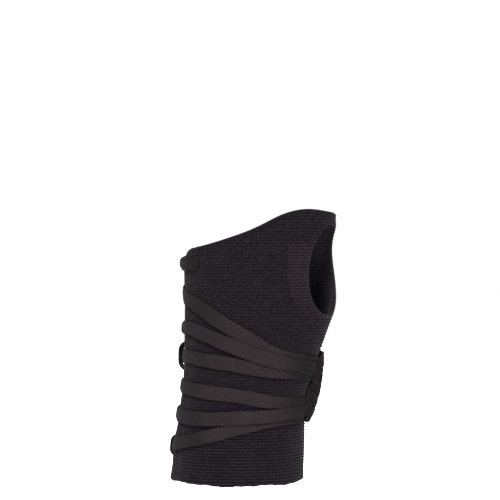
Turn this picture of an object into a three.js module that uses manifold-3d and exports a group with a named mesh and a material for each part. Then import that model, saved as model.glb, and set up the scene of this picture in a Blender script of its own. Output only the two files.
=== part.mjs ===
// Lace-up wrist support: a ribbed elastic sleeve, open along its narrow side and drawn together
// there by flat laces, which gather into a pull tab on the thumb side.
//
// Millimetres. +Z runs from the base to the rim, the palm side faces -Y and the thumb side is +X.
// The origin is the middle of the hollow at its narrowest part. Angles are degrees round the
// hollow: 0 thumb side, 90 back, 180 narrow side, 270 palm side. A lift is a distance out from
// the sleeve's outer face.

import * as THREE from "three";
import Module from "manifold-3d";

const wasm = await Module();
wasm.setup();

// Outer form of the sleeve: how far it reaches from its axis at each height.
const SECTIONS = [
  { height: -36.0, narrow: 39.4, thumb: 35.8, palm: 29.0, back: 27.5 },
  { height: -14.5, narrow: 38.2, thumb: 36.2, palm: 27.0, back: 25.5 },
  { height: 0.0, narrow: 35.8, thumb: 37.0, palm: 25.5, back: 24.0 },
  { height: 23.0, narrow: 32.9, thumb: 40.1, palm: 24.5, back: 22.5 },
  { height: 41.0, narrow: 32.1, thumb: 46.0, palm: 25.0, back: 21.5 },
  { height: 55.0, narrow: 31.9, thumb: 50.8, palm: 25.5, back: 20.5 },
  { height: 66.0, narrow: 31.8, thumb: 54.1, palm: 25.0, back: 20.0 },
  { height: 81.0, narrow: 32.0, thumb: 55.2, palm: 23.0, back: 19.0 },
  { height: 99.0, narrow: 32.0, thumb: 55.4, palm: 20.0, back: 18.5 },
  { height: 123.0, narrow: 31.2, thumb: 54.5, palm: 16.0, back: 17.5 },
];
const SQUARENESS = 2.4; // exponent of a section's oval, where 2 would be an ellipse

// Two soft swells of the palm side.
const PADS = [
  { at: "thumb side", angle: 318, height: 72, spread: 24, reach: 20, rise: 3.0 },
  { at: "narrow side", angle: 228, height: 70, spread: 20, reach: 24, rise: 1.5 },
];

// The sleeve runs from the palm edge, over its palm side, thumb side and back, to the back edge.
const WALL = 2.4;
const PALM_EDGE = 186;
const BACK_EDGE = 531;
const BASE = { height: -33.2, dip: 1.0 }; // lower edge, a little lower at the palm
const RIM = [
  { angle: 186, height: 93.5 },
  { angle: 189.5, height: 97.2 },
  { angle: 194, height: 99.7 },
  { angle: 202, height: 101.2 },
  { angle: 229, height: 106.9 },
  { angle: 273, height: 113.7 },
  { angle: 316, height: 120.6 },
  { angle: 334, height: 122.3 },
  { angle: 349, height: 120.9 },
  { angle: 372, height: 118.6 },
  { angle: 405, height: 114.2 },
  { angle: 450, height: 107.6 },
  { angle: 500, height: 102.4 },
  { angle: 525, height: 100.2 },
  { angle: 531, height: 97.0 },
];
const SLEEVE_GRID = { around: 57, along: 18 };

// The thumb hole is an egg, with its broad end low on the palm side and high on the back.
const THUMB_HOLE = { angle: 347, lean: 3, height: 87.3, half: 26.2, palm: 23.4, back: 20, egg: 0.38 };
const HOLE_GRID = { around: 14, along: 18 };

// Small space left between pieces that lie on each other.
const GAP = 0.3;

// Step, in degrees or millimetres, by which slopes are measured.
const STEP = 0.1;

// Folded tape over each edge of the opening.
const BINDING = { width: 8.0, thick: 0.6, legSteps: 2, turnSteps: 6, along: 14 };

// Flat lace, squeezed in its loops and gathered at the pull tab: heights of the six runs where
// they cross four angles on the palm side, and the angle and height at which each one ends
// against the tab.
const LACE = { width: 7.8, squeezed: 6.0, gathered: 6.4, thick: 0.8, step: 3.4, degree: 0.6 };
const STATIONS = { edge: 203, near: 236, middle: 270, far: 305 };
const RUNS = {
  first: { edge: 67.8, near: 55.7, middle: 46.2, far: 38.4, end: 348.6, tab: 34.1 },
  second: { edge: 53.8, near: 45.8, middle: 40.2, far: 35.2, end: 347.6, tab: 30.8 },
  third: { edge: 37.4, near: 35.0, middle: 32.0, far: 29.6, end: 346.6, tab: 27.2 },
  fourth: { edge: 19.8, near: 17.5, middle: 15.3, far: 12.7, end: 342.3, tab: 10.4 },
  fifth: { edge: 3.2, near: 3.2, middle: 3.8, far: 5.2, end: 341.5, tab: 6.8 },
  sixth: { edge: -11.0, near: -6.4, middle: -1.2, far: 2.0, end: 340.6, tab: 3.4 },
};

// Lifts of a run at the same angles: all ride over the binding, and where they gather the
// second and fifth lie on top of their neighbours.
const UNDER = { edge: 1.3, near: 0.4, middle: 0.35, far: 0.35, tab: 0.35 };
const OVER_LATE = { edge: 1.35, near: 1.25, middle: 1.5, far: 1.45, tab: 1.45 };
const OVER = { edge: 1.35, near: 1.45, middle: 1.45, far: 1.45, tab: 1.45 };

// A lace's way across the opening, by angle: how much of its change of height is done, and its
// lift over the two bindings.
const CROSSING = [
  { angle: 193, done: 0.3, lift: 1.4 },
  { angle: 184, done: 0.58, lift: 1.4 },
  { angle: 177, done: 0.79, lift: 1.4 },
  { angle: 170, done: 1.0, lift: 1.4 },
  { angle: 164, done: 1.0, lift: 1.4 },
];

// A turned lace lies in a half round on the back panel: half of the turn, by how far it has come
// in from each crossing's height.
const TURN = [
  { angle: 157.5, inset: 0.0, lift: 1.3 },
  { angle: 150.2, inset: 2.3, lift: 0.8 },
  { angle: 147.8, inset: 5.4, lift: 0.55 },
];

// Heights of a turn's two crossings.
const TURNS = {
  top: { high: 91.0, low: 76.2 },
  upper: { high: 53.4, low: 37.4 },
  lower: { high: 20.0, low: 3.2 },
};

// Sewn ends of the lace: the upper on the palm panel's corner, the lower on the back panel.
const TOP_END = [
  { angle: 202, height: 90.6, lift: 1.25 },
  { angle: 198, height: 90.8, lift: 1.3 },
];
const BOTTOM_END = {
  edge: -11.0,
  height: -16.2,
  way: [
    { angle: 154, lift: 1.2 },
    { angle: 144, lift: 0.4 },
  ],
};

// Webbing loops: upright strips on the back binding, sewn down at both ends, which the laces run
// under. From the top down, the place of each, its whole height and how far its arch rises.
const LOOP = { width: 4.8, thick: 0.6, foot: 1.8, lift: 1.65, arch: 4, steps: 14 };
const LOOPS = [
  { angle: 168.5, middle: 91.0, tall: 12.0, rise: 5.6 },
  { angle: 167.0, middle: 75.8, tall: 13.0, rise: 3.8 },
  { angle: 168.0, middle: 53.4, tall: 12.2, rise: 4.0 },
  { angle: 168.5, middle: 36.8, tall: 20.4, rise: 5.0 },
  { angle: 165.0, middle: 19.6, tall: 13.2, rise: 3.5 },
  { angle: 165.0, middle: 3.2, tall: 13.5, rise: 3.5 },
  { angle: 168.5, middle: -15.2, tall: 15.5, rise: 3.7 },
];

// Pull tab: a rounded plate round the thumb side, with a slanted front edge, bowed off the
// sleeve in its middle.
const TAB = {
  fromLow: 341, fromHigh: 351, to: 435, low: -0.4, high: 40.4, corner: 6, thick: 2.0, seat: 0.4,
  bow: 4.2, bowFrom: 355, bowTo: 372, bowEnd: 400, bowPower: 2.2, around: 22, along: 10,
};

const COLOURS = {
  knit: new THREE.MeshStandardMaterial({ color: 0x272128, roughness: 0.9, metalness: 0 }),
  tape: new THREE.MeshStandardMaterial({ color: 0x2c2628, roughness: 0.8, metalness: 0 }),
  lace: new THREE.MeshStandardMaterial({ color: 0x383232, roughness: 0.75, metalness: 0 }),
  tab: new THREE.MeshStandardMaterial({ color: 0x262022, roughness: 0.85, metalness: 0 }),
};

// Smooth curve through one column of a table, by its key column.
function through(table, key, column, at) {
  const last = table.length - 1;
  let i = 0;
  while (i < last - 1 && at > table[i + 1][key]) i++;
  const slope = (k) => {
    const a = table[Math.max(k - 1, 0)];
    const b = table[Math.min(k + 1, last)];
    return (b[column] - a[column]) / (b[key] - a[key]);
  };
  const [a, b] = [table[i], table[i + 1]];
  const span = b[key] - a[key];
  const t = THREE.MathUtils.clamp((at - a[key]) / span, 0, 1);
  const rise = t * t * (3 - 2 * t);
  const leave = t * (1 - t) * (1 - t) * span * slope(i);
  const arrive = t * t * (t - 1) * span * slope(i + 1);
  return a[column] * (1 - rise) + b[column] * rise + leave + arrive;
}

// Point of the sleeve's outer face.
function face(angle, height) {
  const [narrow, thumb, palm, back] = ["narrow", "thumb", "palm", "back"].map((column) =>
    through(SECTIONS, "height", column, height),
  );
  const turn = THREE.MathUtils.degToRad(angle);
  const [along, out] = [Math.cos(turn), Math.sin(turn)];
  const halfWidth = (narrow + thumb) / 2;
  const halfDepth = out < 0 ? palm : back;
  let reach =
    (Math.abs(along / halfWidth) ** SQUARENESS + Math.abs(out / halfDepth) ** SQUARENESS) **
    (-1 / SQUARENESS);
  for (const pad of PADS) {
    const off = THREE.MathUtils.euclideanModulo(angle - pad.angle + 180, 360) - 180;
    reach += pad.rise * Math.exp(-((off / pad.spread) ** 2) - ((height - pad.height) / pad.reach) ** 2);
  }
  return new THREE.Vector3((thumb - narrow) / 2 + reach * along, reach * out, height);
}

// Millimetres of the outer face for each degree of angle.
function perDegree(angle, height) {
  return face(angle + 0.5, height).distanceTo(face(angle - 0.5, height));
}

// Point at a lift from the outer face, along its normal.
function lifted(angle, height, lift) {
  const round = face(angle + STEP, height).sub(face(angle - STEP, height));
  const up = face(angle, height + STEP).sub(face(angle, height - STEP));
  return face(angle, height).addScaledVector(round.cross(up).normalize(), lift);
}

const rimAt = (angle) => through(RIM, "angle", "height", angle);
const baseAt = (angle) => BASE.height + BASE.dip * Math.sin(THREE.MathUtils.degToRad(angle));

// Closed sheet: place(u, v, outer) gives its points, with u and v from 0 to 1 over the sheet
// and outer 1 on its outside and 0 on its inside.
function sheet(columns, rows, place) {
  const positions = [];
  for (const outer of [1, 0])
    for (let j = 0; j <= rows; j++)
      for (let i = 0; i <= columns; i++)
        positions.push(...place(i / columns, j / rows, outer).toArray());
  const at = (i, j) => j * (columns + 1) + i;
  const inside = (columns + 1) * (rows + 1);
  const index = [];
  for (let j = 0; j < rows; j++)
    for (let i = 0; i < columns; i++) {
      const [a, b, c, d] = [at(i, j), at(i + 1, j), at(i + 1, j + 1), at(i, j + 1)];
      index.push(a, b, c, a, c, d);
      index.push(a + inside, c + inside, b + inside, a + inside, d + inside, c + inside);
    }
  const border = [];
  for (let i = 0; i < columns; i++) border.push(at(i, 0));
  for (let j = 0; j < rows; j++) border.push(at(columns, j));
  for (let i = columns; i > 0; i--) border.push(at(i, rows));
  for (let j = rows; j > 0; j--) border.push(at(0, j));
  border.forEach((p, k) => {
    const q = border[(k + 1) % border.length];
    index.push(p, p + inside, q + inside, p, q + inside, q);
  });
  const geometry = new THREE.BufferGeometry();
  geometry.setAttribute("position", new THREE.Float32BufferAttribute(positions, 3));
  geometry.setIndex(index);
  return geometry;
}

function solid(geometry) {
  const vertProperties = new Float32Array(geometry.attributes.position.array);
  const triVerts = new Uint32Array(geometry.index.array);
  return new wasm.Manifold(new wasm.Mesh({ numProp: 3, vertProperties, triVerts }));
}

function geometryOf(body) {
  const { vertProperties, triVerts } = body.getMesh();
  const geometry = new THREE.BufferGeometry();
  geometry.setAttribute("position", new THREE.BufferAttribute(vertProperties, 3));
  geometry.setIndex(new THREE.BufferAttribute(triVerts, 1));
  return geometry;
}

const support = new THREE.Group();

function add(name, geometry, material) {
  const mesh = new THREE.Mesh(geometry, material);
  mesh.name = name;
  support.add(mesh);
}

// Sleeve, with the thumb hole cut square through its wall.
function sleeve() {
  const wrap = sheet(SLEEVE_GRID.around, SLEEVE_GRID.along, (u, v, outer) => {
    const angle = THREE.MathUtils.lerp(PALM_EDGE, BACK_EDGE, u);
    const height = THREE.MathUtils.lerp(baseAt(angle), rimAt(angle), v);
    return lifted(angle, height, outer ? 0 : -WALL);
  });
  const plug = sheet(HOLE_GRID.around, HOLE_GRID.along, (u, v, outer) => {
    const [a, b] = [2 * u - 1, 2 * v - 1];
    const across = a * Math.sqrt(1 - (b * b) / 2);
    const up = b * Math.sqrt(1 - (a * a) / 2);
    const side = across < 0 ? THUMB_HOLE.palm : THUMB_HOLE.back;
    const egg = 1 + Math.sign(across) * THUMB_HOLE.egg * up;
    const angle = THUMB_HOLE.angle + THUMB_HOLE.lean * up + across * side * egg;
    return lifted(angle, THUMB_HOLE.height + THUMB_HOLE.half * up, outer ? WALL : -2 * WALL);
  });
  return geometryOf(solid(wrap).subtract(solid(plug)));
}

// Tape folded over an edge of the sleeve, where inward is +1 if the sleeve lies at larger angles.
function binding(edge, inward) {
  const fold = WALL / 2 + GAP;
  const profile = [];
  for (let k = 0; k <= BINDING.legSteps; k++)
    profile.push({ inset: BINDING.width * (1 - k / BINDING.legSteps), turn: -90 });
  for (let k = 1; k <= BINDING.turnSteps; k++)
    profile.push({ inset: 0, turn: -90 + (180 * k) / BINDING.turnSteps });
  for (let k = 1; k <= BINDING.legSteps; k++)
    profile.push({ inset: (BINDING.width * k) / BINDING.legSteps, turn: 90 });
  const last = profile.length - 1;
  return sheet(last, BINDING.along, (u, v, outer) => {
    const { inset, turn } = profile[Math.round((inward > 0 ? u : 1 - u) * last)];
    const radius = fold + outer * BINDING.thick;
    const swing = THREE.MathUtils.degToRad(turn);
    const level = THREE.MathUtils.lerp(baseAt(edge), rimAt(edge), v);
    const along = inset - radius * Math.cos(swing);
    const angle = edge + (inward * along) / perDegree(edge, level);
    const height = THREE.MathUtils.lerp(baseAt(angle), rimAt(angle), v);
    return lifted(angle, height, radius * Math.sin(swing) - WALL / 2);
  });
}

// One run over the palm side, from the palm edge to the tab, as points of angle, height and lift.
function run(name, lifts) {
  const row = RUNS[name];
  const over = Object.keys(STATIONS).map((station) => ({
    angle: STATIONS[station],
    height: row[station],
    lift: lifts[station],
  }));
  return [...over, { angle: row.end, height: row.tab, lift: lifts.tab }];
}

// Way across the opening, from a height at the palm edge to one at the back panel.
function crossing(from, to) {
  return CROSSING.map(({ angle, done, lift }) => ({
    angle,
    height: THREE.MathUtils.lerp(from, to, done),
    lift,
  }));
}

// Way across the opening, round on the back panel, and across again.
function turn({ high, low }, above, below) {
  const half = (height, inward) =>
    TURN.map(({ angle, inset, lift }) => ({ angle, height: height + inward * inset, lift }));
  const going = [...crossing(above, high), ...half(high, -1)];
  const coming = [...crossing(below, low), ...half(low, 1)];
  return [...going, ...coming.toReversed()];
}

// Flat lace along a way, lying on the sleeve at the lift that each point gives. Its curve is drawn
// on the sleeve's face laid out flat, with a degree about as long as it is there.
function lace(way) {
  const scale = LACE.degree;
  const line = new THREE.CatmullRomCurve3(
    way.map(({ angle, height, lift }) => new THREE.Vector3(angle * scale, height, lift)),
    false,
    "centripetal",
  );
  const steps = Math.ceil(line.getLength() / LACE.step);
  return sheet(steps, 1, (u, v, outer) => {
    const point = line.getPointAt(u);
    const ahead = line.getTangentAt(u);
    const angle = point.x / scale;
    const degree = perDegree(angle, point.y);
    const way = new THREE.Vector2((ahead.x / scale) * degree, ahead.y).normalize();
    const free = THREE.MathUtils.smoothstep(angle, BACK_EDGE - 360, PALM_EDGE);
    const gather = THREE.MathUtils.smoothstep(angle, STATIONS.middle, TAB.fromLow);
    const open = THREE.MathUtils.lerp(LACE.squeezed, LACE.width, free);
    const side = (v - 0.5) * THREE.MathUtils.lerp(open, LACE.gathered, gather);
    return lifted(
      angle - (way.y * side) / degree,
      point.y + way.x * side,
      point.z + outer * LACE.thick,
    );
  });
}

// Webbing loop: two flat feet on the binding and an arch between them.
function laceLoop({ angle, middle, tall, rise }) {
  const half = tall / 2 - LOOP.foot;
  const arch = (up) => {
    const part = Math.min(Math.abs(up) / half, 1);
    return THREE.MathUtils.lerp(rise, LOOP.lift, part ** LOOP.arch);
  };
  const degree = perDegree(angle, middle);
  return sheet(1, LOOP.steps, (u, v, outer) => {
    const up = (v - 0.5) * tall;
    const slope = new THREE.Vector2(2 * STEP, arch(up + STEP) - arch(up - STEP)).normalize();
    const off = (outer - 0.5) * LOOP.thick;
    const across = ((u - 0.5) * LOOP.width) / degree;
    return lifted(angle + across, middle + up - slope.y * off, arch(up) + slope.x * off);
  });
}

// Pull tab, with its corners rounded and its middle standing off the sleeve.
function pullTab() {
  const middle = (TAB.low + TAB.high) / 2;
  const half = (TAB.high - TAB.low) / 2;
  const length = (TAB.to - TAB.fromLow) * perDegree(TAB.fromLow, middle);
  return sheet(TAB.around, TAB.along, (u, v, outer) => {
    const part = (1 - Math.cos(Math.PI * u)) / 2;
    const short = Math.max(TAB.corner - Math.min(part, 1 - part) * length, 0);
    const halfHere = half - TAB.corner + Math.sqrt(TAB.corner ** 2 - short ** 2);
    const off = (2 * v - 1) * halfHere;
    const from = THREE.MathUtils.lerp(TAB.fromLow, TAB.fromHigh, (off + half) / (2 * half));
    const angle = THREE.MathUtils.lerp(from, TAB.to, part);
    const rise = THREE.MathUtils.smoothstep(angle, from, TAB.bowFrom);
    const fall = 1 - THREE.MathUtils.smoothstep(angle, TAB.bowTo, TAB.bowEnd);
    const bow = TAB.bow * rise * fall * (1 - Math.abs(off / half) ** TAB.bowPower);
    return lifted(angle, middle + off, TAB.seat + bow + outer * TAB.thick);
  });
}

const edge = (name) => RUNS[name].edge;
const topTurn = turn(TURNS.top, TOP_END[1].height, edge("first"));
const upperTurn = turn(TURNS.upper, edge("second"), edge("third"));
const lowerTurn = turn(TURNS.lower, edge("fourth"), edge("fifth"));
const sewnEnd = BOTTOM_END.way.map(({ angle, lift }) => ({ angle, height: BOTTOM_END.height, lift }));
const bottomCrossing = crossing(BOTTOM_END.edge, BOTTOM_END.height);
const bottomTurn = [...bottomCrossing, ...sewnEnd].toReversed();
const topLace = [...TOP_END, ...topTurn, ...run("first", UNDER)];
const upperLace = [...run("second", OVER_LATE).toReversed(), ...upperTurn, ...run("third", UNDER)];
const lowerLace = [...run("fourth", UNDER).toReversed(), ...lowerTurn, ...run("fifth", OVER)];
const bottomLace = [...bottomTurn, ...run("sixth", UNDER)];

add("sleeve", sleeve(), COLOURS.knit);
add("palm_edge_binding", binding(PALM_EDGE, 1), COLOURS.tape);
add("back_edge_binding", binding(BACK_EDGE, -1), COLOURS.tape);
add("lace_top", lace(topLace), COLOURS.lace);
add("lace_upper", lace(upperLace), COLOURS.lace);
add("lace_lower", lace(lowerLace), COLOURS.lace);
add("lace_bottom", lace(bottomLace), COLOURS.lace);
LOOPS.forEach((loop, k) => add(`lace_loop_${k + 1}`, laceLoop(loop), COLOURS.tape));
add("pull_tab", pullTab(), COLOURS.tab);

export default support;
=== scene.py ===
import bpy
import numpy as np
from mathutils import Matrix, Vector


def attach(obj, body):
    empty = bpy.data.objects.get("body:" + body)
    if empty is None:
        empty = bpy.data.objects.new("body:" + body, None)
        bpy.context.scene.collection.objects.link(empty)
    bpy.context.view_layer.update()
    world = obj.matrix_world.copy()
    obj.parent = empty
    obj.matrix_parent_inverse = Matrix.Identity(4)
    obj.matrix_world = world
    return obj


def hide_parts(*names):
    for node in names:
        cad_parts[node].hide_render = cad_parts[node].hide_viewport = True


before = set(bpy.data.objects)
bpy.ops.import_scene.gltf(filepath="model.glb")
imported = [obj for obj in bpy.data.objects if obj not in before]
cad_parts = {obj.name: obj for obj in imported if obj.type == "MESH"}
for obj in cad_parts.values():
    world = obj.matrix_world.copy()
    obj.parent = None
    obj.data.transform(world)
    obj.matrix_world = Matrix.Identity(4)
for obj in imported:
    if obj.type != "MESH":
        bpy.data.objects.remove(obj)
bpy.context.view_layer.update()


# Sleeve. One wide piece of ribbed elastic knit, wrapped into a tube with its ribs running round it.
# It stays open along its narrow side, where the laces cross, and a thumb hole is cut in its wide side.
# Its rim, base and hole are turned in to soft rolled edges.

millimetre = 0.001

# Reach of the tube's outside from its axis, in millimetres at each height: open side, thumb side,
# palm side and back. Angles run in degrees round the tube: 0 thumb side, 90 back, 180 open side.
sleeve_form = np.array([
    (-36.0, 39.4, 35.8, 29.0, 27.5),
    (-14.5, 38.2, 36.2, 27.0, 25.5),
    (0.0, 35.8, 37.0, 25.5, 24.0),
    (23.0, 32.9, 40.1, 24.5, 22.5),
    (41.0, 32.1, 46.0, 25.0, 21.5),
    (55.0, 31.9, 50.8, 25.5, 20.5),
    (66.0, 31.8, 54.1, 25.0, 20.0),
    (81.0, 32.0, 55.2, 23.0, 19.0),
    (99.0, 32.0, 55.4, 20.0, 18.5),
    (123.0, 31.2, 54.5, 16.0, 17.5),
])
squareness = 2.4
swells = [
    dict(angle=318, height=72, spread=24, tall=20, rise=3.0),
    dict(angle=228, height=70, spread=20, tall=24, rise=1.5),
]
palm_edge, back_edge = 186, 531
wall = 2.4

# Lower edge, with slight waves: how many in a turn, start and height of each, and a finer ripple.
base_height, base_dip = -33.2, 1.0
base_waves = ((5, 1.0, 0.3), (11, 0.0, 0.2))
ripple_count, ripple_drift, ripple_high = 31, 7, 0.16

# Rim, as angle and height.
rim_line = np.array([
    (186, 93.5), (189.5, 97.2), (194, 99.7), (202, 101.2), (229, 106.9), (273, 113.7), (316, 120.6),
    (334, 122.3), (349, 120.9), (372, 118.6), (405, 114.2), (450, 107.6), (500, 102.4), (525, 100.2),
    (531, 97.0),
])

# Thumb hole: its middle, half its height, and its reach in degrees to the palm side and to the back.
hole_angle, hole_lean, hole_height, hole_half = 347, 3, 87.3, 26.2
hole_reach = {-1: 23.4, 1: 20.0}
hole_egg = 0.38

# Middle line of each lace run over the palm side, which presses a shallow groove into the knit:
# angle, then the heights of the six runs from the top one down.
lace_lines = np.array([
    (188, 71.6, 53.6, 37.4, 19.9, 3.2, -13.4),
    (203, 67.8, 53.8, 37.4, 19.8, 3.2, -11.0),
    (236, 55.7, 45.8, 35.0, 17.5, 3.2, -6.4),
    (270, 46.2, 40.2, 32.0, 15.3, 3.8, -1.2),
    (305, 38.4, 35.2, 29.6, 12.7, 5.2, 2.0),
    (346, 34.3, 30.9, 27.2, 10.3, 6.7, 3.2),
])
groove_deep, groove_wide = 0.45, 3.9
groove_starts, groove_ends = (166, 178), (350, 362)
slack_high, slack_long, slack_short, slack_fine = 0.22, 17, 11, 6.5

# Short creases of the knit: middle, run per millimetre of height, length, width and depth.
creases = [
    dict(angle=224, height=-30.2, run=-2.2, long=2.0, wide=1.4, deep=1.3),
    dict(angle=213, height=-27.0, run=1.4, long=3.0, wide=2.2, deep=0.5),
    dict(angle=194, height=92.4, run=0.4, long=1.4, wide=2.2, deep=0.8),
]

# Ribs, with shares of their height on plain knit, more on the hem and the bold band, less where
# pressed. Then rolled edges, the hem round the hole, and the corners that flare beside the opening.
rib_pitch, rib_high, rows_per_rib = 1.72, 0.13, 5
rib_plain, rib_hem, rib_bold, rib_pressed = 0.8, 0.6, 0.45, 0.7
knit_loop, knit_per_degree = 1.3, 0.62
edge_zone, edge_rows = 3.2, 9
roll_in, roll_half, roll_high = 1.35, 1.5, 0.35
hole_hem, hem_soft, hem_high = 10.5, 0.6, 0.22
seam_deep, seam_wide = 0.3, 0.9
flare_out, flare_angle, flare_wide, flare_from = 1.0, 180, 13, -23

# Where the knit is pressed smooth, where its ribs stand bolder with more painted shade in their furrows,
# and the band of heights where the hem beside the hole carries painted light and a brown tint.
pressed_angle, pressed_height, pressed_wide, pressed_tall = 196, 90.6, 9.0, 5.5
bold_from, bold_full = 12, -6
painted_light_from, painted_light_to = (58, 70), (108, 96)


def through(table, at):
    """Smooth curve through a table's columns, at values of its first column."""
    key, rows = table[:, 0], table[:, 1:]
    ahead = np.minimum(np.arange(len(key)) + 1, len(key) - 1)
    behind = np.maximum(np.arange(len(key)) - 1, 0)
    slope = (rows[ahead] - rows[behind]) / (key[ahead] - key[behind])[:, None]
    at = np.asarray(at, float)
    i = np.searchsorted(key[1:-1], at)
    span = (key[i + 1] - key[i])[..., None]
    t = np.clip((at - key[i])[..., None] / span, 0, 1)
    rise = t * t * (3 - 2 * t)
    lean = t * (1 - t) ** 2 * slope[i] + t * t * (t - 1) * slope[i + 1]
    return rows[i] * (1 - rise) + rows[i + 1] * rise + lean * span


def smooth(low, high, at):
    """0 below low, 1 above high, and an easy curve between."""
    t = np.clip((at - low) / (high - low), 0, 1)
    return t * t * (3 - 2 * t)


def hump(off, wide):
    """1 in the middle, falling away on both sides."""
    return np.exp(-((off / wide) ** 2))


def face(angle, height):
    """Points of the tube's smooth outside, in millimetres."""
    angle, height = np.broadcast_arrays(np.asarray(angle, float), np.asarray(height, float))
    narrow, thumb, palm, back = np.moveaxis(through(sleeve_form, height), -1, 0)
    along, out = np.cos(np.radians(angle)), np.sin(np.radians(angle))
    half_width = (narrow + thumb) / 2
    half_depth = np.where(out < 0, palm, back)
    oval = np.abs(along / half_width) ** squareness + np.abs(out / half_depth) ** squareness
    reach = oval ** (-1 / squareness)
    for swell in swells:
        about = (angle - swell["angle"] + 180) % 360 - 180
        upward = height - swell["height"]
        reach = reach + swell["rise"] * hump(about, swell["spread"]) * hump(upward, swell["tall"])
    return np.stack([(thumb - narrow) / 2 + reach * along, reach * out, height], -1)


def outward(angle, height):
    """Unit normals of the smooth outside."""
    step = 0.1
    about = face(angle + step, height) - face(angle - step, height)
    upward = face(angle, height + step) - face(angle, height - step)
    out = np.cross(about, upward)
    return out / np.linalg.norm(out, axis=-1, keepdims=True)


def lifted(angle, height, lift):
    """Points at a distance out from the smooth outside."""
    return face(angle, height) + outward(angle, height) * np.asarray(lift, float)[..., None]


def per_degree(angle, height):
    """Millimetres round the outside for each degree."""
    return np.linalg.norm(face(angle + 0.5, height) - face(angle - 0.5, height), axis=-1)


def rim_at(angle):
    """Height of the rim."""
    return through(rim_line, angle)[..., 0]


def base_at(angle):
    """Height of the lower edge, a little lower at the palm and slightly uneven."""
    turn = np.radians(angle)
    uneven = sum(high * np.sin(count * turn + start) for count, start, high in base_waves)
    uneven = uneven + ripple_high * np.sin(ripple_count * turn + np.sin(ripple_drift * turn))
    return base_height + base_dip * np.sin(turn) + uneven


def hole_edge(height, side):
    """Angle of the thumb hole's edge, on its palm side (-1) or its back (1)."""
    up = np.clip((height - hole_height) / hole_half, -1, 1)
    wide = np.sqrt(1 - up * up) * hole_reach[side] * (1 + side * hole_egg * up)
    return hole_angle + hole_lean * up + side * wide


def hole_distance(angle, height):
    """Rough distance out from the thumb hole's edge, in millimetres."""
    farthest, slimmest, step = 1.6, 0.3, 0.05

    def share(a, h):
        up = np.clip((h - hole_height) / hole_half, -farthest, farthest)
        across = a - hole_angle - hole_lean * up
        side = np.sign(across)
        egg = np.maximum(1 + side * hole_egg * up, slimmest)
        return np.hypot(across / (np.where(side < 0, hole_reach[-1], hole_reach[1]) * egg), up)

    across = (share(angle + step, height) - share(angle - step, height)) / per_degree(angle, height)
    along = share(angle, height + step) - share(angle, height - step)
    return (share(angle, height) - 1) / (np.hypot(across, along) / (2 * step) + 1e-6)


def slack(angle, height):
    """How far the knit stands off its smooth form: grooves under the laces, gentle unevenness, and a
    flare of the lower corners beside the opening."""
    lines = through(lace_lines, np.clip(angle, lace_lines[0, 0], lace_lines[-1, 0]))
    held = smooth(*groove_starts, angle) * (1 - smooth(*groove_ends, angle))
    groove = hump(height[..., None] - lines, groove_wide).max(-1)
    turn = np.radians(angle)
    wave = np.sin(3 * turn + height / slack_long) * np.sin(height / slack_short + 2 * turn)
    wave = wave + 0.5 * np.sin(7 * turn - height / slack_fine)
    dents = 0
    for crease in creases:
        rise = height - crease["height"]
        off = angle - crease["angle"] - crease["run"] * rise
        dents = dents + crease["deep"] * hump(off, crease["wide"]) * hump(rise, crease["long"])
    corner = (angle - flare_angle + 180) % 360 - 180
    flare = flare_out * hump(corner, flare_wide) * smooth(flare_from, base_height, height)
    return slack_high * wave - groove_deep * groove * held - dents + flare


def sleeve_blocks():
    """Angles and heights of the knit's rows and columns, palm side then back. The columns near the
    hole give way to it, and the rows near the rim and the base follow them."""
    rows = np.arange(base_height, rim_line[:, 1].max(), rib_pitch / rows_per_rib)
    tips = np.array([0, 0.02, 0.08, 0.2])
    ends = np.concatenate([hole_height - hole_half + tips, hole_height + hole_half - tips])
    rows = rows[np.abs(rows[:, None] - ends).min(1) > 0.1]
    rows = np.sort(np.concatenate([rows, ends]))
    near_edge = np.array([0, 1.2, 2.4, 3.6, 5, 6.4])
    near_hole = np.array([1.9, 1.2, 0.7, 0.3, 0])
    off_edge, off_hole, palm_count, back_count = 8, 3.2, 42, 40
    palm_columns = np.concatenate([
        palm_edge + near_edge,
        np.linspace(palm_edge + off_edge, hole_angle - off_hole, palm_count),
        hole_angle - near_hole,
    ])
    back_columns = np.concatenate([
        hole_angle + near_hole[::-1],
        np.linspace(hole_angle + off_hole, back_edge - off_edge, back_count),
        back_edge - near_edge[::-1],
    ])
    give_way = 60
    for side, columns in ((-1, palm_columns), (1, back_columns)):
        near = smooth(give_way, 0, np.abs(columns - hole_angle))
        angle = columns + near * (hole_edge(rows[:, None], side) - hole_angle)
        for _ in range(12):
            height = np.clip(rows[:, None], base_at(angle) + edge_zone, rim_at(angle) - edge_zone)
            angle = columns + near * (hole_edge(height, side) - hole_angle)
        part = np.arange(edge_rows) / edge_rows
        low = base_at(angle[0]) + edge_zone * part[:, None]
        high = rim_at(angle[-1]) - edge_zone * part[::-1, None]
        spread = np.ones((edge_rows, 1))
        angle = np.vstack([angle[0] * spread, angle, angle[-1] * spread])
        yield angle, np.vstack([low, height, high])


def rounded(off, reach):
    """Share of the full thickness at a distance in from an edge that is rounded over a reach."""
    return np.sqrt(1 - (1 - np.clip(off / reach, 0, 1)) ** 2)


def grid_corners(rows, columns, first=0):
    """Corners of the faces of a grid of points, row by row."""
    at = first + np.arange(rows * columns).reshape(rows, columns)
    return np.stack([at[:-1, :-1], at[:-1, 1:], at[1:, 1:], at[1:, :-1]], -1).reshape(-1, 4)


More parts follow.
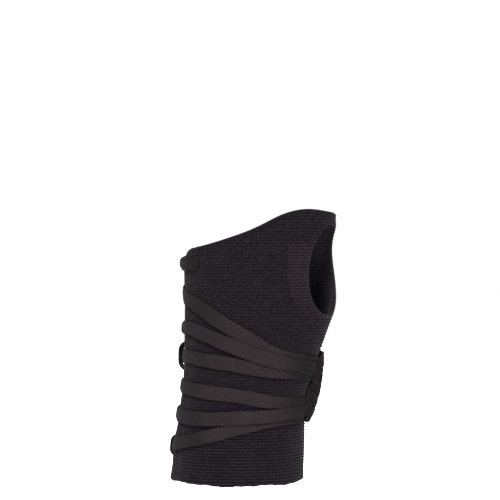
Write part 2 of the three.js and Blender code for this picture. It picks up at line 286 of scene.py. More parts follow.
def make_piece(name, points, corners, chart, finish, marks=None):
    """Mesh piece from points in millimetres, joined where they meet, with a chart of the cloth's own
    lengths along and across it in millimetres, and named marks, one number a point, for its finish."""
    meet = 0.002
    points = np.asarray(points, float).reshape(-1, 3)
    chart = np.asarray(chart, float).reshape(-1, 2)
    keys = np.round(points / meet).astype(np.int64)
    _, first, joined = np.unique(keys, axis=0, return_index=True, return_inverse=True)
    joined = joined.reshape(-1)
    faces, spots = [], []
    for face_corners in corners.tolist():
        kept = [c for i, c in enumerate(face_corners) if joined[c] != joined[face_corners[i - 1]]]
        if len({joined[c] for c in kept}) > 2:
            faces.append([joined[c] for c in kept])
            spots.extend(kept)
    mesh = bpy.data.meshes.new(name)
    mesh.from_pydata(points[first] * millimetre, [], faces)
    mesh.polygons.foreach_set("use_smooth", np.ones(len(faces), bool))
    mesh.uv_layers.new(name="Cloth").data.foreach_set("uv", chart[spots].astype(np.float32).ravel())
    for mark, values in (marks or {}).items():
        values = np.asarray(values, np.float32).ravel()[first]
        mesh.attributes.new(mark, "FLOAT", "POINT").data.foreach_set("value", values)
    mesh.materials.append(finish)
    mesh.update()
    piece = bpy.data.objects.new(name, mesh)
    bpy.context.scene.collection.objects.link(piece)
    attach(piece, "root")
    return piece


class Strand:
    """A value in a finish's node tree. Arithmetic on it adds Math nodes."""

    def __init__(self, tree, socket):
        self.tree = tree
        self.socket = socket

    def node(self, kind, settings=None, inputs=None, output=0):
        """Adds a node with its settings, then the values or strands of its sockets."""
        made = self.tree.nodes.new("ShaderNode" + kind)
        for name, value in (settings or {}).items():
            setattr(made, name, value)
        for name, value in (inputs or {}).items():
            if isinstance(value, Strand):
                self.tree.links.new(value.socket, made.inputs[name])
            else:
                made.inputs[name].default_value = value
        return Strand(self.tree, made.outputs[output])

    def math(self, operation, *terms):
        """Adds a Math node."""
        return self.node("Math", {"operation": operation}, dict(enumerate(terms)))

    def __add__(self, other):
        return self.math("ADD", self, other)

    def __sub__(self, other):
        return self.math("SUBTRACT", self, other)

    def __rsub__(self, other):
        return self.math("SUBTRACT", other, self)

    def __mul__(self, other):
        return self.math("MULTIPLY", self, other)

    def __truediv__(self, other):
        return self.math("DIVIDE", self, other)

    __radd__ = __add__
    __rmul__ = __mul__

    def wave(self):
        """Rises and falls between 0 and 1, once for each whole number."""
        return self.math("COSINE", self * (2 * np.pi)) * 0.5 + 0.5

    def speckle(self, scale, detail=2.0):
        """Cloudy noise from 0 to 1 over the piece, with scale in clouds to the metre."""
        place = self.node("TexCoord", output="Object")
        return self.node("TexNoise", None, {"Vector": place, "Scale": scale, "Detail": detail}, "Fac")

    def mark(self, name):
        """Value of one of the piece's marks."""
        return self.node("Attribute", {"attribute_name": name}, output="Fac")

    def blend(self, dark, light):
        """Colour from dark to light, as this value goes from 0 to 1."""
        return self.node("Mix", {"data_type": "RGBA"}, {0: self, 6: dark, 7: light}, 2)


def start_finish(name):
    """New material and its shader, with the cloth's two lengths as strands to work from."""
    material = bpy.data.materials.new(name)
    material.use_nodes = True
    tree = material.node_tree
    shader = tree.nodes["Principled BSDF"]
    chart = Strand(tree, None).node("UVMap", {"uv_map": "Cloth"})
    along = chart.node("SeparateXYZ", None, {0: chart}, "X")
    across = chart.node("SeparateXYZ", None, {0: chart}, "Y")
    return material, shader, along, across


def cover(shader, colour, roughness, relief, deep, sheen=0.02, gloss=0.04):
    """Links a finish's colour, roughness and relief, which stands deep metres high, to its shader."""
    tree = colour.tree
    tree.links.new(colour.socket, shader.inputs["Base Color"])
    tree.links.new(roughness.socket, shader.inputs["Roughness"])
    bump = relief.node("Bump", None, {"Height": relief, "Distance": deep, "Strength": 1.0})
    tree.links.new(bump.socket, shader.inputs["Normal"])
    shader.inputs["Specular IOR Level"].default_value = gloss
    shader.inputs["Sheen Weight"].default_value = sheen
    shader.inputs["Sheen Roughness"].default_value = 0.6


def ribbed_knit():
    """Knit with painted shade in the furrows between its ribs, a fine row of loops on each rib, and a
    mottled fuzz, with painted light on the hem beside the hole.
    """
    material, shader, along, across = start_finish("ribbed_knit")
    rib = across / rib_pitch
    ridge = rib.wave()
    course = rib.math("FLOOR", rib + 0.5)
    loops = (along / knit_loop + course * 0.5).wave()
    fuzz = along.speckle(2600)
    mottle = along.speckle(750)
    patch = along.speckle(55, 3.0)
    # The hem mark: painted light on the hem beside the hole, with a brown tint and more painted shade in
    # its furrows.
    hem = along.mark("hem")
    pressed = along.mark("pressed")
    bold = along.mark("bold")
    # Ridges lighter than furrows: painted shade in the furrows, stronger on the hem and weaker where
    # pressed smooth.
    broken = ridge * (0.24 + hem * 0.3 + mottle * 0.2) * (1 - pressed * 0.8) + pressed * 0.4
    tone = broken + loops * 0.08 + (mottle - 0.5) * 1.3 + fuzz * 0.2 + patch * 0.3 - 0.06 + hem * 0.12
    # Bolder painted shade in the furrows of the lower band.
    tone = tone + (ridge - 0.5) * bold * 0.28
    violet = tone.blend((0.0010, 0.0006, 0.0011, 1), (0.0150, 0.0101, 0.0160, 1))
    brown = tone.blend((0.0013, 0.0007, 0.0008, 1), (0.0170, 0.0106, 0.0122, 1))
    colour = (hem * 0.35).blend(violet, brown)
    relief = loops * ridge * 0.6 + fuzz * 0.5 + mottle * 0.6
    cover(shader, colour, 0.97 - ridge * 0.1, relief, 0.00016, sheen=0.05)
    return material


points, corners, charts = [], [], []
marks = {"hem": [], "pressed": [], "bold": []}
for angle, height in sleeve_blocks():
    hole_off = hole_distance(angle, height)
    rim_off = rim_at(angle) - height
    base_off = height - base_at(angle)
    side_off = np.minimum(angle - palm_edge, back_edge - angle) * per_degree(angle, height)
    edge_off = np.clip(np.minimum.reduce([hole_off, rim_off, base_off, side_off]), 0, None)
    full = rounded(edge_off, wall / 2)
    hem = smooth(hole_hem + hem_soft, hole_hem - hem_soft, hole_off)
    painted_light = smooth(*painted_light_from, height) * smooth(*painted_light_to, height)
    pressed = np.exp(
        -(((angle - pressed_angle) / pressed_wide) ** 4) - ((height - pressed_height) / pressed_tall) ** 4
    )
    bold = smooth(bold_from, bold_full, height)
    rib = rib_high * np.cos(2 * np.pi * height / rib_pitch)
    rib = rib * (rib_plain + rib_hem * hem + rib_bold * bold - rib_pressed * pressed)
    roll = roll_high * hump(np.minimum(rim_off, base_off) - roll_in, roll_half)
    seam = seam_deep * hump(hole_off - hole_hem, seam_wide) - hem_high * hem
    half_thick = (wall / 2 + rib + roll - seam) * full
    middle = slack(angle, height) - wall / 2
    for side in (1, -1):
        grid = grid_corners(*angle.shape, first=sum(map(len, points)))
        corners.append(grid if side > 0 else grid[:, ::-1])
        points.append(lifted(angle, height, middle + side * half_thick).reshape(-1, 3))
        charts.append(np.stack([angle * knit_per_degree, height], -1).reshape(-1, 2))
        # The hem's mark covers the hem beside the hole within a band of heights, where light is painted
        # on.
        for name, mark in (("hem", hem * painted_light), ("pressed", pressed), ("bold", bold)):
            marks[name].append(mark.ravel())
marks = {name: np.concatenate(parts) for name, parts in marks.items()}
sleeve = make_piece(
    "sleeve_knit", *map(np.concatenate, (points, corners, charts)), ribbed_knit(), marks
)
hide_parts("sleeve")


# Hem stitching. A row of dark polyester thread, lock-stitched through the knit, holds the turned hem
# round the thumb hole. Each stitch is a short arch that sinks into the cloth at its ends.

thread_thick, thread_twist = 0.55, 0.8
stitch_high, stitch_sunk, stitch_tip = 0.75, 0.25, 0.35
hem_from, hem_to, hem_points = -250, 70, 260
hem_below_rim, hem_sunk = 5, 0.05


def twisted_thread():
    """Thread with a fine twist."""
    material, shader, along, across = start_finish("twisted_thread")
    twist = (along / thread_twist + across).wave()
    tone = twist * 0.7 + along.speckle(3000) * 0.3
    colour = tone.blend((0.0045, 0.0034, 0.0042, 1), (0.0175, 0.0138, 0.0165, 1))
    cover(shader, colour, 0.8 - tone * 0.15, twist, 0.00008, gloss=0.1)
    return material


thread_finish = twisted_thread()


def stitches(name, starts, ends, outs, thick=thread_thick):
    """Short arched stitches between pairs of points, all in one piece."""
    rings, sides = 7, 6
    share = np.linspace(0, 1, rings)
    arch = np.sin(np.pi * share)
    turn = np.linspace(0, 2 * np.pi, sides, endpoint=False)
    run = ends - starts
    length = np.linalg.norm(run, axis=-1, keepdims=True)
    out = outs / np.linalg.norm(outs, axis=-1, keepdims=True)
    across = np.cross(run / length, out)
    stand = thick * (stitch_high * arch - stitch_sunk)
    line = starts[:, None] + run[:, None] * share[:, None] + out[:, None] * stand[:, None]
    radius = thick / 2 * (stitch_tip + (1 - stitch_tip) * arch**0.5)
    ring = out[:, None, None] * np.cos(turn)[:, None] + across[:, None, None] * np.sin(turn)[:, None]
    points = line[:, :, None] + ring * radius[:, None, None]
    count = len(starts)
    at = np.arange(count * rings * sides).reshape(count, rings, sides)
    beside = np.roll(at, -1, axis=2)
    tube = np.stack([at[:, :-1], beside[:, :-1], beside[:, 1:], at[:, 1:]], -1).reshape(-1, 4)
    caps = np.concatenate([at[:, 0, ::-1], at[:, -1]])
    halves = np.concatenate([caps[:, [0, 1, 2, 3]], caps[:, [0, 3, 4, 5]]])
    chart = np.stack(np.broadcast_arrays((share * length)[:, :, None], turn / (2 * np.pi)), -1)
    piece = make_piece(name, points, np.concatenate([tube, halves]), chart, thread_finish)
    return piece


def walked(line):
    """Distance along a line of points, from its first one."""
    return np.concatenate([[0], np.cumsum(np.linalg.norm(np.diff(line, axis=0), axis=1))])


def sewn_row(angle, height, lift, stitch=2.5, gap=0.7):
    """Stitch ends and directions of a row that follows a line of angles and heights on the sleeve."""
    run = walked(lifted(angle, height, lift))
    count = int(run[-1] / (stitch + gap))
    middles = (np.arange(count) + 0.5) / count * run[-1]
    starts, ends = (
        lifted(*(np.interp(middles + step, run, column) for column in (angle, height, lift)))
        for step in (-stitch / 2, stitch / 2)
    )
    return starts, ends, outward(*(np.interp(middles, run, column) for column in (angle, height)))


def join_rows(rows):
    """One row of stitches from several."""
    return [np.concatenate(part) for part in zip(*rows)]


round_hole = np.radians(np.linspace(hem_from, hem_to, hem_points))
up = np.sin(round_hole)
side = np.where(np.cos(round_hole) < 0, -1, 1)
reach = np.where(side < 0, hole_reach[-1], hole_reach[1]) * (1 + side * hole_egg * up)
hem_angle = hole_angle + hole_lean * up + np.cos(round_hole) * reach
hem_height = hole_height + hole_half * up
for _ in range(6):
    short = hole_hem - hole_distance(hem_angle, hem_height)
    hem_angle = hem_angle + short * np.cos(round_hole) / per_degree(hem_angle, hem_height)
    hem_height = hem_height + short * np.sin(round_hole)
below_rim = hem_height < rim_at(hem_angle) - hem_below_rim
hem_angle, hem_height = hem_angle[below_rim], hem_height[below_rim]
hem_lift = slack(hem_angle, hem_height) - hem_sunk
hem_stitches = stitches("hem_stitches", *sewn_row(hem_angle, hem_height, hem_lift))


# Edge bindings. A soft woven tape folded over each long edge of the opening and sewn through, so
# that the laces can pull on it. It puckers a little where the laces draw it in.

binding_wide, binding_thick, binding_clear, binding_lip = 8.0, 0.6, 0.3, 0.5
binding_rows, binding_bends, base_clear, rim_clear = 120, 13, 0.1, 0.3
# Cockles along the tape, and how the laces draw it in.
cockle_high, cockle_long, cockle_drift = 0.1, 0.75, 7
pucker_wide, pucker_deep, pucker_slack = 5.5, 0.9, 0.35
pucker_waves = ((0.25, 3.1, 0),)
# Row of stitches: distance in from the edge, from the tape's ends, depth and stitch length.
row_inset, row_ends, row_sunk, row_stitch = 5.76, 2, 0.3, 2.2
# Heights where the laces cross each edge, from the top one down.
palm_crossings = np.array([90.9, 72.1, 53.6, 37.4, 19.9, 3.2, -13.8])
back_crossings = np.array([91.0, 76.2, 53.4, 37.4, 20.0, 3.2, -16.2])


def woven(name, dark, light, weft, warp, cross, shade=None):
    """Finish of a woven tape: weft ribs across it at one pitch, warp threads along it at another, and
    perhaps a mark that darkens it, which on the laces holds painted shade."""
    material, shader, along, across = start_finish(name)
    ribs = (along / weft).wave()
    over = along.math("FLOOR", along / weft)
    threads = (across / warp + over * 0.5).wave()
    fuzz = along.speckle(2400)
    patch = along.speckle(70, 3.0)
    weave = ribs * cross + ribs * threads * (1 - cross)
    mottle = along.speckle(800)
    tone = weave * 0.45 + fuzz * 0.25 + patch * 0.4 + (mottle - 0.5) * 0.5 - 0.1
    # Darker where the mark says: on the laces this is painted shade towards the tab.
    if shade:
        tone = tone - along.mark(shade) * (0.2 + mottle * 0.4)
    cover(shader, tone.blend(dark, light), 0.95 - weave * 0.12, weave + fuzz * 0.4, 0.00014)
    return material


tape_dark, tape_light = (0.0085, 0.0067, 0.0070, 1), (0.0330, 0.0258, 0.0272, 1)
tape_finish = woven("binding_tape", tape_dark, tape_light, weft=0.5, warp=0.7, cross=0.3)


def ripples(waves, at):
    """Sum of waves along a length: height, length to a radian, and start of each."""
    return sum(high * np.sin(at / long + start) for high, long, start in waves)


def pucker(height, crossings):
    """How far the binding is drawn towards the opening at a height, in millimetres."""
    drawn = hump(height[..., None] - crossings, pucker_wide).sum(-1)
    return pucker_deep * drawn - pucker_slack + ripples(pucker_waves, height)


def binding(name, edge, inward, crossings, node):
    """Folded tape over one edge, where inward is 1 if the sleeve lies at larger angles. Gives the
    piece and its row of stitches."""
    fold = wall / 2 + binding_clear
    leg = binding_wide * np.array([1.0, 0.97, 0.9, 0.7, 0.45, 0.2])
    turn = np.radians(np.linspace(-90, 90, binding_bends))
    inset = np.concatenate([leg, np.zeros(binding_bends), leg[::-1]])
    swing = np.concatenate([np.full(len(leg), turn[0]), turn, np.full(len(leg), turn[-1])])
    width = walked(np.column_stack([inset, fold * swing]))
    lip = np.minimum(np.arange(len(inset)), np.arange(len(inset))[::-1])
    thick = binding_thick * np.array([0.0, 0.6, 0.95, 1.0])[np.minimum(lip, 3)]
    share = np.linspace(0, 1, binding_rows)[:, None]
    level = base_at(edge) + (rim_at(edge) - base_at(edge)) * share
    closing = np.ones((binding_rows, 1))
    closing[[0, -1]] = 0
    cockle = cockle_high * np.sin(level / cockle_long + 1.5 * np.sin(level / cockle_drift))
    points, corners, charts = [], [], []
    for outer in (1, -1):
        radius = fold + binding_thick / 2 + outer * thick / 2 * closing
        radius = radius - binding_lip * (inset / binding_wide) ** 2
        along = inset - radius * np.cos(swing) - pucker(level, crossings)
        angle = edge + inward * along / per_degree(edge, level)
        low, high = base_at(angle) + base_clear, rim_at(angle) - rim_clear
        height = low + (high - low) * share
        lift = (radius + cockle * (inset > 0)) * np.sin(swing) - wall / 2 + slack(angle, height)
        grid = grid_corners(*angle.shape, first=sum(map(len, points)))
        corners.append(grid if outer * inward > 0 else grid[:, ::-1])
        points.append(lifted(angle, height, lift).reshape(-1, 3))
        charts.append(np.stack(np.broadcast_arrays(level, width), -1).reshape(-1, 2))
    piece = make_piece(name, *map(np.concatenate, (points, corners, charts)), tape_finish)
    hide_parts(node)
    row_height = np.linspace(base_at(edge) + row_ends, rim_at(edge) - row_ends, 200)
    row_along = row_inset - pucker(row_height, crossings)
    row_angle = edge + inward * row_along / per_degree(edge, row_height)
    row_lift = binding_clear + binding_thick - row_sunk + slack(row_angle, row_height)
    return piece, sewn_row(row_angle, row_height, row_lift, row_stitch)


palm_binding, palm_row = binding("palm_edge_tape", palm_edge, 1, palm_crossings, "palm_edge_binding")
back_binding, back_row = binding("back_edge_tape", back_edge, -1, back_crossings, "back_edge_binding")
binding_stitches = stitches("binding_stitches", *join_rows([palm_row, back_row]))


# Laces. Flat woven laces with a fine cross rib. Each is laid over the palm side and across the opening,
# makes a half round on the back panel and comes home again. Their ends are sewn into the pull tab.

lace_wide, lace_squeezed, lace_gathered, lace_thick = 7.8, 6.0, 6.4, 0.8
lace_step, lace_sides, lace_tip, route_points = 0.8, 28, 1.8, 1500
lace_waves = ((0.2, 4.3, 0), (0.12, 2.1, 1))
# Gathering at the tab, pleats, curl and sway, the dent of a tack, and where a lace is darker, with
# painted shade towards the tab.
gather_from, gather_full, tab_side = 270, 345, 300
pleat_high, pleat_fine, curl_high, sway_high = 0.3, 0.16, 0.14, 0.25
dent_deep, dent_in, dent_wide = 0.4, 5.5, 1.3
end_shade, tab_shade = (12, 6), (295, 345)
opening_dark, opening_from, opening_to = 0.45, (246, 212), (165, 180)
# Angles that each run is laid through.
stations = lace_lines[1:5, 0]
# Angle and height where each run goes in at the tab, from the top one down.
lace_ends = [(348.6, 34.1), (347.6, 30.8), (346.6, 27.2), (342.3, 10.4), (341.5, 6.8), (340.6, 3.4)]
tuck, tuck_drop = 4.0, 0.3
# Lift of a run at the four stations and at the tab, by how it lies on its neighbours.
lies_under = [1.3, 0.65, 0.65, 0.65, 0.6]
lies_over_late = [1.35, 1.3, 1.75, 1.75, 1.3]
lies_over = [1.35, 1.7, 1.75, 1.75, 1.3]
# Way over the opening: angle, share of the change of height, lift, and bow across the lace's width.
crossing = (
    (193, 0.30, 1.25, 0.0),
    (184, 0.58, 1.20, 0.3),
    (177, 0.79, 1.20, 0.4),
    (170, 1.00, 1.25, 0.2),
    (164, 1.00, 1.25, 0.0),
)
# Half of the turn on the back panel: angle, distance in from the height of the crossing, and lift.
half_turn = ((157.5, 0.0, 1.1), (150.2, 2.3, 0.5), (147.8, 5.4, 0.25))
# Sewn ends of the top and the bottom lace: angle, height, lift and bow.
bottom_height = back_crossings[6]
top_end = [(202.5, 90.6, 0.0, 0), (198.5, 90.8, 0.9, 0)]
bottom_end = [(144, bottom_height, 0.2, 0), (154, bottom_height, 1.0, 0)]


def run_over(number, lifts):
    """Angles, heights, lifts and bows of one run, from the palm edge to just inside the tab."""
    end_angle, end_height = lace_ends[number]
    rows = [(angle, lace_lines[k + 1, number + 1], lifts[k], 0) for k, angle in enumerate(stations)]
    rows.append((end_angle, end_height, lifts[-1], 0))
    rows.append((end_angle + tuck, end_height - tuck_drop, lifts[-1], 0))
    return rows


def cross_over(start, end):
    """A lace's way over the opening, from a height at the palm edge to one at the back."""
    return [(angle, start + (end - start) * done, lift, bow) for angle, done, lift, bow in crossing]


def turn_back(above, high, low, below):
    """A lace's way over the opening, round on the back panel and over again, by its heights at the
    palm edge, at the back twice, and at the palm edge."""
    going = cross_over(above, high) + [(angle, high - inset, lift, 0) for angle, inset, lift in half_turn]
    coming = cross_over(below, low) + [(angle, low + inset, lift, 0) for angle, inset, lift in half_turn]
    return going + coming[::-1]


def squared(turn, power_across, power_up):
    """Across and up, from -1 to 1, on a rounded box at turns in degrees."""
    across, up = np.cos(np.radians(turn)), np.sin(np.radians(turn))
    return np.sign(across) * np.abs(across) ** power_across, np.sign(up) * np.abs(up) ** power_up


def tube_corners(rings, sides):
    """Corners of the faces of a tube, ring by ring."""
    at = np.arange(rings * sides).reshape(rings, sides)
    beside = np.roll(at, -1, axis=1)
    return np.stack([at[:-1], beside[:-1], beside[1:], at[1:]], -1).reshape(-1, 4)


lace_dark, lace_light = (0.0085, 0.0067, 0.0073, 1), (0.0345, 0.0275, 0.0297, 1)
lace_finish = woven(
    "flat_lace", lace_dark, lace_light, weft=1.15, warp=0.55, cross=0.55, shade="shade"
)


def lace(name, way, node):
    """Flat lace along a way of angles, heights, lifts and bows."""
    way = np.array(way, float)
    strides = np.linalg.norm(np.diff(way * [0.6, 1, 1, 1], axis=0), axis=1)
    beat = np.concatenate([[0], np.cumsum(strides**0.5)])
    fine = through(np.column_stack([beat, way]), np.linspace(0, beat[-1], route_points))
    run = walked(lifted(*fine.T[:3]))
    steps = int(run[-1] / lace_step)
    place = np.linspace(0, run[-1], steps + 1)
    angle, height, lift, bow = (np.interp(place, run, column)[:, None] for column in fine.T)
    place = place[:, None]
    degree = per_degree(angle, height)
    ahead = np.stack([np.gradient(angle[:, 0]) * degree[:, 0], np.gradient(height[:, 0])], -1)
    ahead = ahead / np.linalg.norm(ahead, axis=-1, keepdims=True)
    gather = smooth(gather_from, gather_full, angle)
    end_off = np.minimum(place, place[-1] - place)
    tip = rounded(end_off, lace_tip)

    # Width: squeezed under the loops, gathered at the tab, a little uneven, and rounded at the tips.
    free = smooth(back_edge - 360, palm_edge, angle)
    wide = lace_squeezed + (lace_wide - lace_squeezed) * free
    wide = wide + (lace_gathered - wide) * gather
    wide = (wide + ripples(lace_waves, place)) * (0.8 + 0.2 * tip)
    across, crown = squared(np.linspace(0, 360, lace_sides, endpoint=False), 0.55, 0.6)
    side = across * wide / 2

    # Lift: pleated at the tab, slightly curled, and dented by the tack at a sewn end.
    pleat = pleat_high * gather**2 * np.cos(2.5 * np.pi * across + 0.9 * np.sin(place / 3.0))
    pleat = pleat + pleat_fine * gather**3 * np.sin(place / 0.9 + 3 * across)
    curl = curl_high * np.sin(place / 9) * across
    dent = dent_deep * hump(end_off - dent_in, dent_wide) * (1 - across**2)
    level = lift + lace_thick / 2 + pleat + curl - dent
    level = level + bow * (1 - np.abs(across) ** 1.1) + slack(angle, height)
    level = level + crown * lace_thick / 2 * tip
    sway = sway_high * np.sin(place / 7.5 + height / 9) * (1 - gather)
    points = lifted(angle - ahead[:, 1:] * side / degree, height + ahead[:, :1] * side + sway, level)

    # Shade: darker at a sewn end, painted shade towards the tab, and darker on the palm side beside the
    # opening.
    shade = np.where(angle < tab_side, smooth(*end_shade, place), smooth(*tab_shade, angle))
    shade = np.maximum(shade, opening_dark * smooth(*opening_from, angle) * smooth(*opening_to, angle))
    corners = tube_corners(steps + 1, lace_sides)
    chart = np.stack(np.broadcast_arrays(place, side), -1)
    marks = {"shade": np.broadcast_to(shade, side.shape)}
    piece = make_piece(name, points, corners, chart, lace_finish, marks)
    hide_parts(node)


at_edge = lace_lines[1, 1:]
top_way = turn_back(top_end[1][1], *back_crossings[0:2], at_edge[0])
upper_way = turn_back(at_edge[1], *back_crossings[2:4], at_edge[2])
lower_way = turn_back(at_edge[3], *back_crossings[4:6], at_edge[4])
bottom_way = cross_over(at_edge[5], bottom_height)[::-1]
lace("top_lace", top_end + top_way + run_over(0, lies_under), "lace_top")
lace("upper_lace", run_over(1, lies_over_late)[::-1] + upper_way + run_over(2, lies_under), "lace_upper")
lace("lower_lace", run_over(3, lies_under)[::-1] + lower_way + run_over(4, lies_over), "lace_lower")
lace("bottom_lace", bottom_end + bottom_way + run_over(5, lies_under), "lace_bottom")


# Lace loops. Upright strips of firm webbing along the back binding, which the laces run under. Bar
# tacks, dense zigzags of thread, hold both feet of each loop and the laces' sewn ends.

loop_wide, loop_thick, loop_foot, loop_lift, loop_arch = 4.8, 0.6, 1.8, 1.25, 4
loop_steps, loop_sides = 64, 20
# Angle, middle height, length and rise of each loop, from the top one down.
loops = (
    (168.5, 91.0, 12.0, 5.6),
    (167.0, 75.8, 13.0, 3.8),
    (168.0, 53.4, 12.2, 4.0),
    (168.5, 36.8, 20.4, 5.0),
    (165.0, 19.6, 13.2, 3.5),
    (165.0, 3.2, 13.5, 3.5),
    (168.5, -15.2, 15.5, 3.7),
)
# Angle, height, lift and length of the tacks on the laces' two sewn ends.
sewn_ends = ((195.0, 91.3, 1.45, 2.6), (147.0, bottom_height, 1.2, 5.0))
tack_thick = 0.45
webbing_dark, webbing_light = (0.0085, 0.0067, 0.0072, 1), (0.0340, 0.0268, 0.0288, 1)
webbing = woven("loop_webbing", webbing_dark, webbing_light, weft=0.9, warp=0.9, cross=0.5)


def lace_loop(number, angle, middle, tall, rise):
    """Strip with two flat feet and an arch between them, from its upper foot down."""
    down = np.linspace(tall / 2, -tall / 2, loop_steps)
    part = np.minimum(np.abs(down) / (tall / 2 - loop_foot), 1)
    line = np.column_stack([middle + down, rise - (rise - loop_lift) * part**loop_arch])
    ahead = np.gradient(line, axis=0)
    ahead = ahead / np.linalg.norm(ahead, axis=-1, keepdims=True)
    across, crown = squared(np.linspace(0, 360, loop_sides, endpoint=False), 0.45, 0.5)
    closing = np.ones((loop_steps, 1))
    closing[[0, -1]] = 0
    side = across * loop_wide / 2
    off = crown * loop_thick / 2 * closing
    points = lifted(
        angle + side / per_degree(angle, middle) + 0 * off,
        line[:, :1] + ahead[:, 1:] * off,
        line[:, 1:] - ahead[:, :1] * off + slack(angle + 0 * off, line[:, :1] + 0 * off),
    )
    chart = np.stack(np.broadcast_arrays(walked(line)[:, None], side), -1)
    corners = tube_corners(loop_steps, loop_sides)
    piece = make_piece(f"webbing_loop_{number}", points, corners, chart, webbing)
    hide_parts(f"lace_loop_{number}")


def bar_tack(angle, middle, lift, tall, wide=1.7, threads=11):
    """Ends of the threads of a bar tack, which stands upright across a lace or a loop's foot."""
    level = middle + tall * (np.arange(threads) / (threads - 1) - 0.5)
    reach = wide / 2 / per_degree(angle, middle)
    lean = tall / threads / 2
    lift = np.full(threads, lift)
    starts = lifted(np.full(threads, angle - reach), level - lean, lift)
    ends = lifted(np.full(threads, angle + reach), level + lean, lift)
    return starts, ends, outward(np.full(threads, angle), level)


tacks = [bar_tack(*sewn_end) for sewn_end in sewn_ends]
for number, (angle, middle, tall, rise) in enumerate(loops, 1):
    lace_loop(number, angle, middle, tall, rise)
    for end in (1, -1):
        foot_height = middle + end * (tall - loop_foot) / 2
        foot_lift = loop_lift + loop_thick / 2 + slack(np.array(angle), np.array(foot_height))
        tacks.append(bar_tack(angle, foot_height, foot_lift, tall=1.2, wide=4.2, threads=5))
stitches("bar_tacks", *join_rows(tacks), thick=tack_thick)


# Pull tab. A rounded patch of brushed loop pile laminated to a hook backing, wrapped round the thumb
# side. The lace ends run in between its two layers at the front edge, and a row of stitching goes
# all round it.

tab_low_front, tab_high_front, tab_back = 341, 351, 435
tab_low, tab_high, tab_corner, tab_thick, tab_seat = -0.4, 40.4, 6.0, 2.0, 0.4
tab_bow, bow_from, bow_to, bow_end, bow_power = 4.2, 355, 372, 400, 2.2
tab_columns, tab_rows = 150, 121
tab_middle, tab_half = (tab_low + tab_high) / 2, (tab_high - tab_low) / 2
tab_long = (tab_back - tab_low_front) * float(per_degree(tab_low_front, tab_middle))
# Front edge: its share of the thickness, how far back the full one starts, its waves and its folds.
front_thin, front_full = 0.45, 10
front_waves, wave_fade = ((0.9, 2.9, 0.5), (0.6, 1.55, 0)), 6
fold_high, fold_long, fold_fade = 0.3, 1.05, 8
# Lumps over the lace ends, the tacks that press them in, and the groove of the stitched border.
lump_high, lump_wide, lump_long = 0.55, 1.9, 9
tack_in, tack_deep, tack_wide, tack_proud = 5.0, 0.5, 1.1, 0.05
border_in, border_deep, border_wide, border_sunk, border_square = 2.6, 0.35, 0.7, 0.3, 0.16
# Nap of the pile: seed, height of single tufts and height of clumps of them.
nap_seed, tuft_high, clump_high = 5, 0.04, 0.09


def tab_place(part, off):
    """Angle, height and lift of the tab's inner face, at a share of its length and a height off its
    middle."""
    front = tab_low_front + (tab_high_front - tab_low_front) * (off + tab_half) / (2 * tab_half)
    angle = front + (tab_back - front) * part + ripples(front_waves, off) * (1 - part) ** wave_fade
    stand = smooth(front, bow_from, angle) * (1 - smooth(bow_to, bow_end, angle))
    bow = tab_bow * stand * (1 - np.abs(off / tab_half) ** bow_power)
    return angle, tab_middle + off, tab_seat + bow


def tab_outer(part, off):
    """Lift of the tab's outer face: thin at the front, lumped over the lace ends and pressed in where
    they are sewn."""
    angle, height, lift = tab_place(part, off)
    front = part * tab_long
    uneven = 0.22 * np.sin(height / 3.7 + angle / 5) + 0.18 * np.sin(angle / 2.9 - height / 8)
    raised = lump_high * hump(front, lump_long) - tack_deep * hump(front - tack_in, tack_wide)
    for _, end_height in lace_ends:
        uneven = uneven + raised * hump(height - end_height, lump_wide)
    folds = fold_high * np.cos(front / fold_long + 0.8 * np.sin(height / 4))
    uneven = uneven + folds * np.exp(-front / fold_fade)
    return lift + tab_thick * (front_thin + (1 - front_thin) * smooth(0, front_full, front)) + uneven


def clumped(shape):
    """Uneven nap of the brushed pile, in millimetres: single tufts and clumps of them."""
    grain = np.random.default_rng(nap_seed).normal(size=shape)
    clumps = grain
    for _ in range(3):
        for axis in (0, 1):
            clumps = (np.roll(clumps, 1, axis) + 2 * clumps + np.roll(clumps, -1, axis)) / 4
    return grain * tuft_high + clumps / clumps.std() * clump_high


def loop_pile():
    """Brushed pile of fine tufts, with darker and lighter clumps."""
    material, shader, along, _ = start_finish("loop_pile")
    place = along.node("TexCoord", output="Object")
    tufts = along.node("TexVoronoi", None, {"Vector": place, "Scale": 900.0}, "Distance")
    fuzz = along.speckle(2200)
    brushed = along.speckle(420, 4.0)
    tone = tufts * 0.8 + (fuzz - 0.5) * 0.8 + (brushed - 0.5) * 1.3 + 0.05
    colour = tone.blend((0.0022, 0.0013, 0.0015, 1), (0.0150, 0.0097, 0.0110, 1))
    cover(shader, colour, 0.9 + fuzz * 0.1, tufts + fuzz * 0.7, 0.0005, sheen=0.04)
    return material


part = (1 - np.cos(np.pi * np.linspace(0, 1, tab_columns))) / 2
rise = np.sin(np.pi / 2 * np.linspace(-1, 1, tab_rows))[:, None]
end_off = np.minimum(part, 1 - part) * tab_long
half_here = tab_half - tab_corner + np.sqrt(tab_corner**2 - np.maximum(tab_corner - end_off, 0) ** 2)
off = rise * half_here
part = part + 0 * off
angle, height, lift = tab_place(part, off)
inset = np.minimum(end_off, half_here - np.abs(off))
edge = rounded(inset, tab_thick / 2)
border = border_deep * hump(inset - border_in, border_wide)
half_thick = (tab_outer(part, off) + clumped(off.shape) - border - lift) / 2
points, corners, charts = [], [], []
for outer in (1, -1):
    grid = grid_corners(*angle.shape, first=sum(map(len, points)))
    corners.append(grid if outer > 0 else grid[:, ::-1])
    points.append(lifted(angle, height, lift + half_thick * (1 + outer * edge)).reshape(-1, 3))
    charts.append(np.stack([part * tab_long, off], -1).reshape(-1, 2))
tab = make_piece("tab_pile", *map(np.concatenate, (points, corners, charts)), loop_pile())
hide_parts("pull_tab")

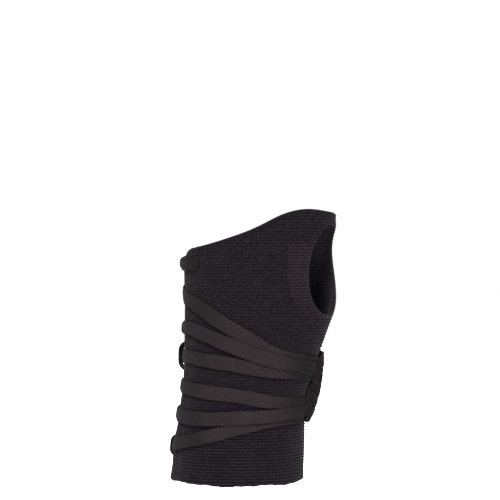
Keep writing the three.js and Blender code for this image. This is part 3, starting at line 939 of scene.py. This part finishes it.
row_across, row_up = squared(np.linspace(0, 360, 400), border_square, border_square)
row_part = ((tab_long / 2 - border_in) * row_across + tab_long / 2) / tab_long
row_off = (tab_half - border_in) * row_up
row_angle, row_height, _ = tab_place(row_part, row_off)
row_lift = tab_outer(row_part, row_off) - border_sunk
stitches("tab_stitches", *sewn_row(row_angle, row_height, row_lift))
end_tacks = []
for _, end_height in lace_ends:
    tack_part, tack_off = tack_in / tab_long, end_height - tuck_drop - tab_middle
    tack_angle, tack_height, _ = tab_place(tack_part, tack_off)
    tack_lift = tab_outer(tack_part, tack_off) + tack_proud
    end_tacks.append(bar_tack(tack_angle, tack_height, tack_lift, tall=2.6, wide=1.3, threads=7))
stitches("tab_tacks", *join_rows(end_tacks), thick=tack_thick)


# Studio. A plain white floor and a white surround, broad soft lights, and a level camera that faces
# the palm side from a little under a metre away.

floor_height, floor_half = -0.09, 6.0
floor_mesh = bpy.data.meshes.new("floor")
floor_mesh.from_pydata(
    [(x, y, floor_height) for y in (-floor_half, floor_half) for x in (-floor_half, floor_half)],
    [],
    grid_corners(2, 2).tolist(),
)
paper = bpy.data.materials.new("white_paper")
paper.use_nodes = True
paper.node_tree.nodes["Principled BSDF"].inputs["Base Color"].default_value = (0.95, 0.95, 0.95, 1)
paper.node_tree.nodes["Principled BSDF"].inputs["Roughness"].default_value = 0.9
floor_mesh.materials.append(paper)
floor = bpy.data.objects.new("floor", floor_mesh)
bpy.context.scene.collection.objects.link(floor)

surround_strength = 1.05
world = bpy.data.worlds.new("studio")
world.use_nodes = True
world.node_tree.nodes["Background"].inputs["Color"].default_value = (1, 1, 1, 1)
world.node_tree.nodes["Background"].inputs["Strength"].default_value = surround_strength
bpy.context.scene.world = world


light_aim = Vector((0, 0, 0.05))


def soft_light(name, place, size, power):
    """Round soft light that faces the middle of the sleeve."""
    lamp = bpy.data.lights.new(name, "AREA")
    lamp.shape = "DISK"
    lamp.size = size
    lamp.energy = power
    light = bpy.data.objects.new(name, lamp)
    light.location = place
    light.rotation_euler = (Vector(place) - light_aim).to_track_quat("Z", "Y").to_euler()
    bpy.context.scene.collection.objects.link(light)


soft_light("key_light", (-0.3, -1.1, 1.5), size=0.7, power=60)
soft_light("fill_light", (1.2, -0.9, 0.4), size=0.9, power=14)
soft_light("back_light", (0.4, 1.3, 1.2), size=1.0, power=16)

photo_width, camera_across, camera_away, camera_height = 0.29, 0.00522, 0.85, 0.0986
camera = bpy.data.cameras.new("camera")
camera.sensor_width = 36
camera.lens = camera.sensor_width * camera_away / photo_width
camera_piece = bpy.data.objects.new("camera", camera)
camera_piece.location = (camera_across, -camera_away, camera_height)
camera_piece.rotation_euler = (np.pi / 2, 0, 0)
bpy.context.scene.collection.objects.link(camera_piece)
bpy.context.scene.camera = camera_piece
bpy.context.scene.view_settings.view_transform = "Standard"
bpy.context.scene.view_settings.gamma = 0.85
